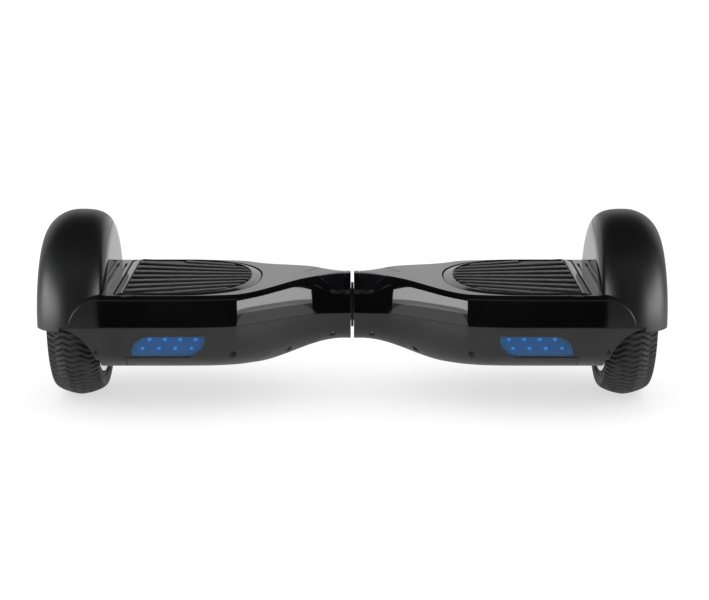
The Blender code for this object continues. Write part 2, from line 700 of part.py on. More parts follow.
def build_electrics():
    finish(box("battery_pack", (0.1170, 0.1900), (-0.0580, 0.0580), (0.0500, 0.0835)),
           "battery_wrap")
    finish(box("control_board", (-0.1850, -0.1100), (-0.0550, 0.0550), (0.0660, 0.0676)),
           "board_green")
    finish(heat_sink("heat_sink"), "cast_aluminium")
    finish(charge_socket("charge_socket"), "bush_polymer")
    cap = finish(charge_cap("charge_cap"), "mat_rubber")
    place_origin(cap, SOCKET_X + 0.0112, 0.0921, REAR_Z)
    button = rod("power_button", 0.0060, (BUTTON_X, 0.0850, REAR_Z),
                 (BUTTON_X, 0.0932, REAR_Z), 24)
    place_origin(finish(button, "matte_shell"), BUTTON_X, 0.0932, REAR_Z)
    finish(box("power_switch", (BUTTON_X - 0.006, BUTTON_X + 0.006), (0.0760, 0.0835),
               (REAR_Z - 0.006, REAR_Z + 0.006)), "bush_polymer")


clear_scene()
parts = bpy.data.collections.new("hoverboard")
bpy.context.scene.collection.children.link(parts)
materials = make_materials()
build_halves()
build_wheels()
build_foot_mats()
build_neck_joint()
build_electrics()
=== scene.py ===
"""Looks of the self balancing hoverboard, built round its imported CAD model.

Metres, +Z up, X along the board, -Y to the front, the ground at Z 0.  Every pair of pieces is
modelled for the right half (X > 0) and mirrored for the left half.
"""

import json
from math import ceil, cos, pi, radians, sin, sqrt

import bmesh
import bpy
from mathutils import Matrix, Vector

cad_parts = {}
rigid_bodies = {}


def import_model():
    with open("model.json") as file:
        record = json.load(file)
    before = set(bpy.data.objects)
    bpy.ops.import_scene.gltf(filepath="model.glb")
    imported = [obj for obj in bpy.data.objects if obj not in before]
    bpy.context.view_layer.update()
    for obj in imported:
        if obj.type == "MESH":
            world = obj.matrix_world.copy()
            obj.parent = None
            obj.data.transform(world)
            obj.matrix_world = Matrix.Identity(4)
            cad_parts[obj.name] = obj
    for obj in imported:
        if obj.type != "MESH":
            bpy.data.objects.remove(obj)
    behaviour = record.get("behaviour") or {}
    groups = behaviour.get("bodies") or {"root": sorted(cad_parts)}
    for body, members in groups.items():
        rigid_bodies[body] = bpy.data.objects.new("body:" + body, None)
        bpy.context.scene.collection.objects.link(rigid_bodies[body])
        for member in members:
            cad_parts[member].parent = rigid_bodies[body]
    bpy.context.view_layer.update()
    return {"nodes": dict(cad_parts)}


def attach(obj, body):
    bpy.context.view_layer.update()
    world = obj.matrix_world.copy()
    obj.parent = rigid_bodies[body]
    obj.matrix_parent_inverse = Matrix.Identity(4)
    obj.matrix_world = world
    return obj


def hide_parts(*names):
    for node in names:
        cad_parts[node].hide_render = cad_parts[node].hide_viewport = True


# Body of each half, as in the CAD model
AXLE_Z = 0.085
PIVOT_Z = 0.0865
SPLIT_Z = 0.085
HALF_GAP = 0.0015
WALL = 0.003
CLEAR = 0.0003
NECK_RADIUS = 0.0325
HALF_DEPTH = 0.094
FLARE_START, FLARE_END = 0.030, 0.135
FLANK_X, FLANK_DEPTH, FLANK_SLOPE, FLANK_EASE = 0.0526, 0.0445, 0.82, 0.010
EDGE_X, EDGE_DEPTH, EDGE_SLOPE, EDGE_BEND = 0.1065, 0.0890, 0.15, 0.003
NECK_ROUND_START, NECK_ROUND_END = 0.008, 0.044
DECK_Z = 0.1135
DECK_SLOPE_START, DECK_SLOPE_END = 0.035, 0.100
BELLY_Z = 0.0358
BELLY_SLOPE_START, BELLY_SLOPE_END = 0.009, 0.090
DECK_CORNER = 0.0056
SIDE_LEAN = 0.0042
DECK_ROUND_START, BODY_END = 0.234, 0.260
LOWER_END = 0.274
SLEEVE_RADIUS = 0.0212

# Fender and the room for the wheel
FENDER_X = 0.2614
FENDER_HALF_WIDTH = 0.0325
FENDER_CROWN = 0.030
FENDER_SHOULDER = 0.0638
FENDER_DROP_X, FENDER_DROP_Z = 0.2695, 0.0805
INNER_WALL_X = FENDER_X - FENDER_HALF_WIDTH
FENDER_SIDES = 180
FENDER_INNER_FULLNESS = 3.0
ARCH_X, ARCH_Z, ARCH_RADIUS = 0.2785, 0.044, 0.0417
WHEEL_SPACE_X, WHEEL_SPACE_RADIUS = 0.2345, 0.0895

# Foot mat
MAT_INNER_X, MAT_OUTER_X = 0.0872, 0.2205
MAT_ROUND_X = 0.165
MAT_HALF_DEPTH = 0.0835
MAT_FULLNESS = 2.4
MAT_BOTTOM_Z, MAT_TOP_Z = 0.1105, 0.1150
MAT_EDGE_Z = 0.1129
MAT_FLOOR_Z = 0.1131
MAT_CLEAR = 0.0006
RIB_INNER_X, RIB_OUTER_X, RIB_HALF_DEPTH = 0.0968, 0.2130, 0.0785
RIB_PITCH, RIB_PITCH_X, RIB_FAN = 0.0138, 0.113, 0.0875
RIB_SHARE = 0.60
RIB_STEP_X = 0.167
SLOT_X, SLOT_HALF_WIDTH, SLOT_HALF_LENGTH = 0.2250, 0.0011, 0.066

# Wheel
WHEEL_RADIUS = 0.085
TYRE_X = 0.2607
TYRE_HALF_WIDTH = 0.0232
TYRE_CROWN = 0.0089
TYRE_FULLNESS = 1.5
RIM_RADIUS = 0.0637
CAP_X = 0.2938
AXLE_RADIUS = 0.0075
BEARING_RADIUS = 0.0177
TREAD_BLOCKS = 82
TREAD_DEPTH = 0.0020

# Lens, openings and screw wells of the lower shell
LENS_X, LENS_Z, LENS_ROUND = (0.1365, 0.2040), (0.0560, 0.0767), 0.0185
BUTTON_X, SOCKET_X, REAR_Z = 0.140, 0.175, 0.072
WELLS = ((0.1110, 0.0812, 0.0715), (0.0608, 0.0335, 0.0640))  # X, Y and top of each well
WELL_RADIUS, BOSS_RADIUS = 0.0032, 0.0050
# X, Y, top and radius of the small wells; only the ones under the neck hold a screw
SMALL_WELLS = ((0.2365, 0.0890, 0.0655, 0.0020), (0.0190, 0.0230, 0.0655, 0.0028))
SEAM_X, SEAM_Z, SEAM_WIDTH = 0.2090, 0.0550, 0.0007

# Camera: where it stands, what it looks at and its lens
CAMERA_TARGET = Vector((0.0, 0.0, 0.0906))
CAMERA_DISTANCE, CAMERA_ELEVATION = 1.781, 12.48
CAMERA_LENS, CAMERA_SHIFT = 93.57, 0.0031

# Finish of the gloss shells: added roughness of the fender, and where along X it sets in
FENDER_HAZE, HAZE_START, HAZE_END = 0.36, 0.2280, 0.2380

# Floor and world: radius and own light of the floor, light of the world above and below
FLOOR_RADIUS, FLOOR_LIGHT = 3.2, 0.62
WORLD_ABOVE, WORLD_BELOW = 1.0, 0.22


# Mesh tools

def new_object(name, mesh):
    item = bpy.data.objects.new(name, mesh)
    bpy.context.scene.collection.objects.link(item)
    return item


def mesh_from(name, bm):
    bmesh.ops.recalc_face_normals(bm, faces=bm.faces)
    mesh = bpy.data.meshes.new(name)
    bm.to_mesh(mesh)
    bm.free()
    return new_object(name, mesh)


def bake(item):
    """Replace an object's mesh by its evaluated mesh and drop its modifiers."""
    bpy.context.view_layer.update()
    evaluated = item.evaluated_get(bpy.context.evaluated_depsgraph_get())
    mesh = bpy.data.meshes.new_from_object(evaluated)
    item.modifiers.clear()
    item.data = mesh
    return item


def combine(item, tool, operation):
    """Boolean of two closed solids; the tool is used up."""
    modifier = item.modifiers.new("combine", "BOOLEAN")
    modifier.operation = operation
    modifier.object = tool
    modifier.use_self = operation == "DIFFERENCE"
    bake(item)
    bpy.data.objects.remove(tool)
    return item


def cut(item, *tools):
    return combine(item, merged(tools), "DIFFERENCE")


def merged(items, name=None):
    """The meshes of several objects in one object, without a boolean."""
    bm = bmesh.new()
    for item in items:
        bm.from_mesh(item.data)
    name = name or items[0].name
    for item in items:
        bpy.data.objects.remove(item)
    mesh = bpy.data.meshes.new(name)
    bm.to_mesh(mesh)
    bm.free()
    return new_object(name, mesh)


def bridge(bm, first, second):
    """Faces between two rings of points; a ring of one point is a pole."""
    count = max(len(first), len(second))
    for i in range(count):
        j = (i + 1) % count
        corners = [first[i % len(first)], first[j % len(first)],
                   second[j % len(second)], second[i % len(second)]]
        corners = [c for k, c in enumerate(corners) if c not in corners[:k]]
        bm.faces.new(corners)


def stack(name, rings):
    """Closed solid through rings of points, with flat ends."""
    bm = bmesh.new()
    rings = [[bm.verts.new(point) for point in ring] for ring in rings]
    for first, second in zip(rings, rings[1:]):
        bridge(bm, first, second)
    bm.faces.new(rings[0])
    bm.faces.new(rings[-1])
    return mesh_from(name, bm)


def lathe(name, profile, sides, height=AXLE_Z, loop=True):
    """Solid turned about the X axis at a height; profile is (X, radius)."""
    bm = bmesh.new()
    rings = []
    for x, radius in profile:
        turns = sides if radius > 0 else 1
        angles = [2 * pi * i / sides for i in range(turns)]
        rings.append([bm.verts.new((x, radius * sin(a), height + radius * cos(a))) for a in angles])
    if loop:
        rings.append(rings[0])
    for first, second in zip(rings, rings[1:]):
        bridge(bm, first, second)
    return mesh_from(name, bm)


def box(name, x, y, z):
    """Box between the two values given for each axis."""
    corners = [[(x[i], y[0], z[0]), (x[i], y[1], z[0]), (x[i], y[1], z[1]), (x[i], y[0], z[1])]
               for i in (0, 1)]
    return stack(name, corners)


def rod(name, radius, start, end, sides=48):
    """Straight round rod between two points."""
    return tapered(name, [(0.0, radius), (1.0, radius)], start, end, sides)


def tapered(name, profile, start, end, sides=48):
    """Turned solid between two points; profile is (share of the length, radius)."""
    start, end = Vector(start), Vector(end)
    turn = (end - start).to_track_quat("Z", "Y").to_matrix()
    rings = []
    for share, radius in profile:
        centre = start.lerp(end, share)
        angles = [2 * pi * i / sides for i in range(sides)]
        rings.append([centre + turn @ Vector((radius * cos(a), radius * sin(a), 0))
                      for a in angles])
    return stack(name, rings)


def arc(centre, radii, first, last, steps):
    """Points of an ellipse arc, angles in degrees."""
    angles = [radians(first + (last - first) * i / steps) for i in range(steps + 1)]
    return [(centre[0] + radii[0] * cos(a), centre[1] + radii[1] * sin(a)) for a in angles]


def prism(name, outline, low, high, plane="XY"):
    """Solid with a flat outline and straight sides, along Z (plane XY) or along Y (plane XZ)."""
    if plane == "XY":
        return stack(name, [[(a, b, c) for a, b in outline] for c in (low, high)])
    return stack(name, [[(a, c, b) for a, b in outline] for c in (low, high)])


# Shape of the body

def smooth(x, start, end):
    """0 before start, 1 after end, with an easy curve between."""
    t = min(max((x - start) / (end - start), 0.0), 1.0)
    return t * t * (3 - 2 * t)


def soft_min(a, b, bend):
    """Smaller of two lengths, with a soft bend where they cross."""
    return (a + b - sqrt((a - b) ** 2 + bend ** 2)) / 2


def soft_max(a, b, bend):
    return (a + b + sqrt((a - b) ** 2 + bend ** 2)) / 2


def half_depth(x):
    """Half the board's depth: the neck, a straight flank, a bend and a long front edge."""
    flank = FLANK_DEPTH + FLANK_SLOPE * (x - FLANK_X)
    edge = soft_min(HALF_DEPTH, EDGE_DEPTH + EDGE_SLOPE * (x - EDGE_X), EDGE_BEND * 0.6)
    return soft_min(soft_max(NECK_RADIUS - 0.0006, flank, FLANK_EASE), edge, EDGE_BEND)


def deck_height(x):
    neck_top = PIVOT_Z + NECK_RADIUS
    height = neck_top + (DECK_Z - neck_top) * smooth(x, DECK_SLOPE_START, DECK_SLOPE_END)
    if x > DECK_ROUND_START:
        run = (x - DECK_ROUND_START) / (FENDER_X - DECK_ROUND_START)
        height = SPLIT_Z + (height - SPLIT_Z) * sqrt(1 - run * run)
    return height


def belly_height(x):
    neck_bottom = PIVOT_Z - NECK_RADIUS
    return neck_bottom + (BELLY_Z - neck_bottom) * smooth(x, BELLY_SLOPE_START, BELLY_SLOPE_END)


def upper_section(x, inset=0.0, foot=SPLIT_Z):
    """Box section above the split with a small crease at the deck; round at the neck."""
    width = half_depth(x) - inset
    top = deck_height(x) - inset
    flat = smooth(x, NECK_ROUND_START, NECK_ROUND_END)
    radius = NECK_RADIUS + (DECK_CORNER - NECK_RADIUS) * flat - inset - 0.0005
    radius = min(radius, top - SPLIT_Z - 0.001)
    rise = top - radius - SPLIT_Z
    side = [(width, foot)] + [(width, SPLIT_Z + rise * i / 9) for i in range(1, 9)]
    side += arc((width - radius, top - radius), (radius, radius), 0, 90, 14)
    side = [(y - SIDE_LEAN * flat * (max(z - SPLIT_Z, 0) / (DECK_Z - SPLIT_Z)) ** 3, z)
            for y, z in side]
    return side + [(-y, z) for y, z in reversed(side)]


def bowl_angles(steps):
    """Angles from 0 to 180 degrees, closer together where a superellipse turns fast."""
    quarter = []
    for i in range(steps + 1):
        run = i / steps
        near = 2 * min(run, 1 - run)
        angle = pi / 4 * near ** 1.5
        quarter.append(angle if run < 0.5 else pi / 2 - angle)
    return quarter + [pi - angle for angle in reversed(quarter[:-1])]


def lower_section(x, inset=0.0, brim=SPLIT_Z):
    """Bowl section under the split: a superellipse, round at the neck and fuller under the deck."""
    width = half_depth(x) - inset
    depth = SPLIT_Z - belly_height(x) - inset
    power = 2 / (2 + smooth(x, FLARE_START, FLARE_END))
    bowl = []
    for angle in bowl_angles(26):
        across = abs(cos(angle)) ** power * (1 if angle < pi / 2 else -1)
        bowl.append((width * across, SPLIT_Z - depth * sin(angle) ** power))
    if brim > SPLIT_Z:
        bowl = [(width, brim)] + bowl + [(-width, brim)]
    return bowl


def stations(start, end, step):
    """X values for a loft, closer together at the flank's bend and where the deck rounds down."""
    zones = ((EDGE_X - 0.009, step), (EDGE_X + 0.009, step * 0.36), (DECK_ROUND_START, step * 2),
             (1.0, step * 0.5))
    values = [start]
    for limit, spacing in zones:
        stop = min(limit, end)
        if values[-1] < stop:
            count = ceil((stop - values[-1]) / spacing)
            values += [values[-1] + (stop - values[-1]) * i / count for i in range(1, count + 1)]
    return values


def loft(name, start, end, section, step=0.0025, **options):
    """Closed solid through the sections of the body, with flat ends."""
    return stack(name, [[(x, y, z) for y, z in section(x, **options)]
                        for x in stations(start, end, step)])


def d_outline(inner_x, outer_x, depth, corner):
    """D-shaped outline: square with small corners at the wheel, round towards the neck."""
    steps = 64
    points = []
    for i in range(steps + 1):
        angle = pi / 2 + pi * i / steps
        away = abs(cos(angle)) ** (2 / MAT_FULLNESS)
        side = abs(sin(angle)) ** (2 / MAT_FULLNESS) * (1 if i <= steps / 2 else -1)
        points.append((MAT_ROUND_X - (MAT_ROUND_X - inner_x) * away, depth * side))
    points += arc((outer_x - corner, -depth + corner), (corner, corner), -90, 0, 8)
    return points + arc((outer_x - corner, depth - corner), (corner, corner), 0, 90, 8)


def mat_outline(grow=0.0):
    return d_outline(MAT_INNER_X - grow, MAT_OUTER_X + grow, MAT_HALF_DEPTH + grow, 0.006)


def lens_outline(grow=0.0):
    """Leaf outline of the lamp lens in X and Z: two sharp corners and two round ones."""
    low_x, high_x = LENS_X[0] - grow, LENS_X[1] + grow
    low_z, high_z = LENS_Z[0] - grow, LENS_Z[1] + grow
    turn = (LENS_ROUND, LENS_ROUND)
    top = arc((high_x - LENS_ROUND, high_z - LENS_ROUND), turn, 0, 90, 20)
    bottom = arc((low_x + LENS_ROUND, low_z + LENS_ROUND), turn, 180, 270, 20)
    return [(high_x, low_z)] + top + [(low_x, high_z)] + bottom


def panel_outline(grow=0.0):
    """Chevron outline of the indicator panel on top of the neck, in X and Y."""
    tip, shoulder, waist, root = 0.0455 + grow, 0.0312 + grow, 0.0213 + grow, 0.0070 - grow
    shoulder_depth, waist_depth = 0.0211 + grow, 0.0275 + grow
    front = [(root, -waist_depth), (waist, -waist_depth), (shoulder, -shoulder_depth)]
    return front + [(tip, 0.0)] + [(x, -y) for x, y in reversed(front)]


# Shells

def fender_profile(thickness):
    """Crown of the fender as (X, radius): round outside, with a tighter corner inside."""
    width, crown = FENDER_HALF_WIDTH - thickness, FENDER_CROWN - thickness
    points = []
    for angle in bowl_angles(18):
        power = 1.0 if angle < pi / 2 else 2 / FENDER_INNER_FULLNESS
        across = abs(cos(angle)) ** power * (1 if angle < pi / 2 else -1)
        points.append((FENDER_X + width * across, FENDER_SHOULDER + crown * sin(angle) ** power))
    return points


def fender_block():
    """Solid drum of the fender, cut flat under the split, with its outer lip hanging lower."""
    profile = fender_profile(0.0)
    profile = [(profile[0][0], 0.0)] + profile + [(profile[-1][0], 0.0)]
    drum = lathe("fender", profile, FENDER_SIDES, loop=False)
    cut(drum, box("under_lip", (0.2, 0.31), (-0.11, 0.11), (-0.02, FENDER_DROP_Z)))
    return cut(drum, box("under_wall", (0.2, FENDER_DROP_X), (-0.11, 0.11), (-0.03, SPLIT_Z)))


def wheel_well():
    profile = fender_profile(WALL)
    outside = (0.31, FENDER_SHOULDER)
    profile = [(outside[0], 0.0), outside] + profile + [(profile[-1][0], 0.0)]
    return lathe("wheel_well", profile, FENDER_SIDES, loop=False)


def neck_hole(start, end):
    return rod("neck_hole", SLEEVE_RADIUS + 0.0006, (start, 0, PIVOT_Z), (end, 0, PIVOT_Z), 96)


def axle_notch():
    return rod("axle_notch", AXLE_RADIUS + 0.001, (0.22, 0, AXLE_Z), (0.24, 0, AXLE_Z))


def deck_slot():
    """Shallow round-ended slot in the deck between the mat and the fender."""
    reach = SLOT_HALF_LENGTH - SLOT_HALF_WIDTH
    turn = (SLOT_HALF_WIDTH, SLOT_HALF_WIDTH)
    outline = arc((SLOT_X, reach), turn, 0, 180, 10) + arc((SLOT_X, -reach), turn, 180, 360, 10)
    return prism("deck_slot", outline, DECK_Z - 0.0018, 0.13)


def panel_pocket(name, skin, depth, outline, low):
    """Part of the neck's skin between two insets, inside the panel's outline."""
    pocket = loft(name, 0.004, 0.06, upper_section, inset=skin)
    cut(pocket, loft("under", 0.003, 0.07, upper_section, inset=depth, foot=SPLIT_Z - 0.01))
    return combine(pocket, prism("edge", outline, low, 0.13), "INTERSECT")


def shell_top(name):
    shell = loft(name, HALF_GAP, BODY_END, upper_section)
    combine(shell, fender_block(), "UNION")
    cut(shell, loft("hollow", HALF_GAP + WALL, INNER_WALL_X, upper_section, step=0.006,
                    inset=WALL, foot=SPLIT_Z - 0.01))
    cut(shell, wheel_well())
    cut(shell, axle_notch(), neck_hole(-0.01, 0.01),
        prism("mat_opening", mat_outline(MAT_CLEAR), 0.1, 0.13), deck_slot())
    return cut(shell, panel_pocket("pocket", -0.001, 0.0014, panel_outline(CLEAR), 0.1023))


def neck_panel(name):
    return panel_pocket(name, 0.0001, 0.0011, panel_outline(), 0.1026)


def seam_blades():
    """Thin blades that cut the panel lines of the belly into the skin only."""
    across = box("seam", (SEAM_X, SEAM_X + SEAM_WIDTH), (-0.1, 0.1), (0.02, SEAM_Z + SEAM_WIDTH))
    along = box("seam", (0.150, SEAM_X), (-0.1, -0.05), (SEAM_Z, SEAM_Z + SEAM_WIDTH))
    for blade in (across, along):
        cut(blade, loft("skin", 0.14, 0.22, lower_section, inset=0.0011, brim=SPLIT_Z + 0.01))
    return across, along


def shell_bottom(name):
    shell = loft(name, HALF_GAP, LOWER_END, lower_section)
    cut(shell, loft("hollow", HALF_GAP + WALL, INNER_WALL_X, lower_section, step=0.006,
                    inset=WALL, brim=SPLIT_Z + 0.01))
    for x, y, top in WELLS:
        for side in (-1, 1):
            boss = rod("boss", BOSS_RADIUS, (x, side * y, 0.045), (x, side * y, top + 0.003), 32)
            combine(boss, loft("bowl", HALF_GAP, 0.2, lower_section, step=0.006, inset=0.001),
                    "INTERSECT")
            combine(shell, boss, "UNION")
    bores = [rod("bore", WELL_RADIUS, (x, side * y, 0.02), (x, side * y, top), 32)
             for x, y, top in WELLS for side in (-1, 1)]
    bores += [rod("bore", radius, (x, side * y, 0.02), (x, side * y, top), 32)
              for x, y, top, radius in SMALL_WELLS for side in (-1, 1)]
    cut(shell, *bores)
    cut(shell, loft("outer_hollow", INNER_WALL_X + WALL, 0.29, lower_section, step=0.006,
                    inset=WALL, brim=SPLIT_Z + 0.01))
    cut(shell, rod("wheel_space", WHEEL_SPACE_RADIUS, (WHEEL_SPACE_X, 0, AXLE_Z),
                   (0.30, 0, AXLE_Z), 180))
    cut(shell, rod("wheel_arch", ARCH_RADIUS, (ARCH_X, -0.12, ARCH_Z), (ARCH_X, 0.12, ARCH_Z), 128))
    cut(shell, box("above", (-0.1, 0.3), (-0.11, 0.11), (SPLIT_Z - CLEAR, 0.12)))
    cut(shell, box("lip_room", (FENDER_DROP_X - CLEAR, 0.3), (-0.11, 0.11),
                   (FENDER_DROP_Z - CLEAR, 0.12)))
    cut(shell, axle_notch(), neck_hole(-0.01, 0.01),
        prism("lens_opening", lens_outline(CLEAR), -0.1, -0.07, "XZ"))
    return cut(shell, *seam_blades())


def cut_rear_openings(shell):
    """Button hole and socket recess at the back of the right lower shell."""
    button = rod("button_hole", 0.0064, (BUTTON_X, 0.08, REAR_Z), (BUTTON_X, 0.1, REAR_Z), 64)
    socket = rod("socket_hole", 0.0083, (SOCKET_X, 0.07, REAR_Z), (SOCKET_X, 0.0900, REAR_Z), 64)
    recess = prism("cap_recess", cap_outline(CLEAR), 0.0897, 0.1, "XZ")
    hinge_room = box("hinge_room", (SOCKET_X + 0.0082, SOCKET_X + 0.0117), (0.0898, 0.099),
                     (REAR_Z - 0.0070, REAR_Z + 0.0070))
    return cut(shell, button, socket, recess, hinge_room)


def lamp_lens(name):
    lens = loft(name, 0.125, 0.215, lower_section, inset=0.0002)
    cut(lens, loft("inside", 0.12, 0.22, lower_section, inset=0.0024, brim=SPLIT_Z + 0.01))
    return combine(lens, prism("edge", lens_outline(), -0.1, -0.07, "XZ"), "INTERSECT")


# Foot mat

def rib_pitch(x):
    return RIB_PITCH + RIB_FAN * (x - RIB_PITCH_X)


def rib_start(index):
    """X where a rib begins, just outside the round inner border."""
    x = RIB_INNER_X
    for _ in range(8):
        edge = (abs(index) + RIB_SHARE / 2) * rib_pitch(x)
        away = max(1 - (edge / RIB_HALF_DEPTH) ** MAT_FULLNESS, 0.0) ** (1 / MAT_FULLNESS)
        x = MAT_ROUND_X - (MAT_ROUND_X - RIB_INNER_X) * away
    return x + 0.0008


def rib(name, index, start, end, top):
    """One long rubber rib: rounded across, with round ends, fanning out towards the wheel."""
    across = [(-1.0, -0.2), (-0.97, 0.4), (-0.86, 0.78), (-0.66, 0.96), (-0.35, 1.0), (0.0, 1.0)]
    across += [(-y, z) for y, z in reversed(across[:-1])]
    round_end = 0.0030
    steps = [(start + round_end * (1 - cos(radians(a))), sin(radians(a))) for a in (12, 35, 60, 90)]
    middle = [(start + (end - start) * i / 14, 1.0) for i in range(2, 13)]
    steps += middle + [(start + end - x, size) for x, size in reversed(steps)]
    rings = []
    for x, size in steps:
        half = RIB_SHARE / 2 * rib_pitch(x) * (0.7 + 0.3 * size)
        height = (top - MAT_FLOOR_Z) * size
        rings.append([(x, index * rib_pitch(x) + half * y, MAT_FLOOR_Z + height * z)
                      for y, z in across])
    return stack(name, rings)


def foot_mat(name):
    """Rubber mat: a sloping glossy border round a sunk floor that carries the ribs."""
    def zone(grow):
        return d_outline(RIB_INNER_X - grow, RIB_OUTER_X + grow, RIB_HALF_DEPTH + grow, 0.004)

    levels = [(mat_outline(-0.0002), MAT_BOTTOM_Z), (mat_outline(-0.0001), MAT_EDGE_Z - 0.0006),
              (mat_outline(-0.0004), MAT_EDGE_Z - 0.0001),
              (mat_outline(-0.0012), MAT_EDGE_Z + 0.0002),
              (zone(0.0022), MAT_TOP_Z - 0.0005), (zone(0.0008), MAT_TOP_Z - 0.0001),
              (zone(0.0002), MAT_TOP_Z - 0.0002), (zone(-0.0002), MAT_TOP_Z - 0.0006),
              (zone(-0.0004), MAT_FLOOR_Z)]
    mat = stack(name, [[(x, y, z) for x, y in outline] for outline, z in levels])
    ribs = []
    for index in range(-4, 5):
        first = rib_start(index)
        if abs(index) < 4:
            ribs.append(rib("rib", index, first, RIB_OUTER_X - 0.0006, MAT_TOP_Z))
        else:
            ribs.append(rib("rib", index * 0.985, first, RIB_STEP_X, MAT_TOP_Z - 0.0002))
            ribs.append(rib("rib", index * 0.93, RIB_STEP_X + 0.001, RIB_OUTER_X - 0.0006,
                            MAT_FLOOR_Z + 0.0007))
    rubber = merged(ribs)
    border_faces = len(mat.data.polygons)
    mat = merged([mat, rubber], name)
    mat.data.materials.append(materials["mat_border"])
    mat.data.materials.append(materials["mat_rubber"])
    for face in mat.data.polygons:
        inside = face.center.z < MAT_FLOOR_Z + 0.0001 and face.normal.z > 0.9
        face.material_index = 1 if face.index >= border_faces or inside else 0
    return mat


# Wheel

def tread_height(turn, across):
    """1 on a tread block and 0 in a groove; the grooves bend twice on their way across."""
    bend = 1.15 * sqrt(across * across + 0.03) + 0.22 * cos(3 * pi * across)
    phase = (turn * TREAD_BLOCKS + bend) % 1.0
    return smooth(phase, 0.02, 0.16) - smooth(phase, 0.66, 0.80)


def tyre(name):
    """Tyre with a moulded tread, from the outer bead over the crown to the inner bead."""
    around, steps = TREAD_BLOCKS * 8, 44
    bead, bulge = RIM_RADIUS + CLEAR, 0.0215
    side = [(0.0185, bead), (0.0205, bead + 0.0010), (0.0212, 0.0672), (0.0224, 0.0678),
            (0.0226, 0.0690), (bulge, 0.0696), (0.0226, 0.0725)]
    bm = bmesh.new()
    profile = [(x, radius, 0.0, 0.0) for x, radius in side]
    for i in range(steps + 1):
        angle = pi * i / steps
        across = abs(cos(angle)) ** (2 / TYRE_FULLNESS) * (1 if angle < pi / 2 else -1)
        up = sin(angle) ** (2 / TYRE_FULLNESS)
        depth = TREAD_DEPTH * smooth(up, 0.02, 0.30)
        profile.append((TYRE_HALF_WIDTH * across, WHEEL_RADIUS - TYRE_CROWN * (1 - up), depth,
                        across))
    profile += [(-x, radius, 0.0, 0.0) for x, radius in reversed(side)]
    rings = []
    for x, radius, depth, across in profile:
        ring = []
        for i in range(around):
            turn = i / around
            drop = depth * (1 - tread_height(turn, across)) if depth else 0.0
            angle = 2 * pi * turn
            ring.append(bm.verts.new((TYRE_X + x, (radius - drop) * sin(angle),
                                      AXLE_Z + (radius - drop) * cos(angle))))
        rings.append(ring)
    for first, second in zip(rings, rings[1:] + rings[:1]):
        bridge(bm, first, second)
    return mesh_from(name, bm)


def motor_rim(name):
    """Drum of the hub motor with a stepped flange outside."""
    seat, bore = BEARING_RADIUS + CLEAR, 0.0565
    profile = [(0.2790, seat), (0.2790, 0.0612), (0.2784, 0.0618), (0.2784, 0.0629),
               (0.2788, 0.0633), (0.2784, RIM_RADIUS), (0.2430, RIM_RADIUS),
               (0.2425, RIM_RADIUS - 0.0005), (0.2425, bore), (0.2715, bore), (0.2715, seat)]
    return lathe(name, profile, 144)


def hub_dome(name):
    """Domed outer cover with a rolled edge, a fine ring and a small cap in the middle."""
    base = 0.2810
    dome = arc((base, 0.0), (CAP_X - base, 0.0600), 8, 84, 20)
    dome = [(x - (0.0005 if abs(r - 0.044) < 0.0016 else 0.0), r) for x, r in dome]
    middle = [(CAP_X - 0.0008, 0.0), (CAP_X - 0.0004, 0.0060), (CAP_X - 0.0012, 0.0070)]
    edge = [(base + 0.0010, 0.0600), (base - 0.0008, 0.0604), (0.2793, 0.0600), (0.2793, 0.0540)]
    back = arc((0.2793, 0.0), (0.0110, 0.0540), 84, 6, 8) + [(0.2903, 0.0)]
    return lathe(name, middle + dome + edge + back, 144, loop=False)


def motor_cover(name):
    """Flat inner cover of the motor with a raised hub and a turned rim."""
    seat = BEARING_RADIUS + CLEAR
    profile = [(0.2450, seat), (0.2450, 0.0215), (0.2422, 0.0215), (0.2422, 0.0630),
               (0.2414, 0.0635), (0.2396, 0.0628), (0.2390, 0.0612), (0.2398, 0.0590),
               (0.2398, 0.0330), (0.2390, 0.0310), (0.2388, 0.0300), (0.2388, seat)]
    return lathe(name, profile, 144)


# Screws, lamp and rear controls

def screw(name, place, direction, radius=0.0024):
    """Pan head screw with a cross recess, its head's foot at place."""
    place, direction = Vector(place), Vector(direction).normalized()
    height = radius * 0.62
    profile = [(0.0, radius), (0.45, radius), (0.75, radius * 0.90), (0.95, radius * 0.62),
               (1.0, radius * 0.3)]
    head = tapered(name, profile, place, place + direction * height, 32)
    turn = direction.to_track_quat("Z", "Y").to_matrix().to_4x4()
    reach, half = radius * 0.62, radius * 0.13
    for a, b in ((reach, half), (half, reach)):
        slot = box("cross", (-a, a), (-b, b), (height * 0.35, height * 1.5))
        slot.data.transform(Matrix.Translation(place) @ turn)
        cut(head, slot)
    return head


def well_screws(name):
    """Screws at the top of the wells in the belly, and two small ones under the neck."""
    made = []
    for x, y, top, radius in [(*well, WELL_RADIUS) for well in WELLS] + list(SMALL_WELLS[1:]):
        for side in (-1, 1):
            made.append(screw("screw", (x, side * y, top - 0.0001), (0, 0, -1), radius * 0.8))
    return merged(made, name)


def cover_screws(name):
    """Six screws round the inner cover of the motor."""
    made = []
    for i in range(6):
        angle = radians(60 * i + 30)
        place = (0.2399, 0.0520 * sin(angle), AXLE_Z + 0.0520 * cos(angle))
        made.append(screw("screw", place, (-1, 0, 0), 0.0026))
    return merged(made, name)


def lamp_leds(name):
    """Two rows of four small oval lamps in front of the tray."""
    made = []
    for row, z in enumerate((0.0628, 0.0712)):
        for i in range(4):
            x = (0.1490 + 0.0151 * i, 0.1450 + 0.0142 * i)[row]
            made.append(prism("led", arc((x, z), (0.0018, 0.0013), 0, 360, 16)[:-1],
                              -0.0814, -0.0803, "XZ"))
    return merged(made, name)


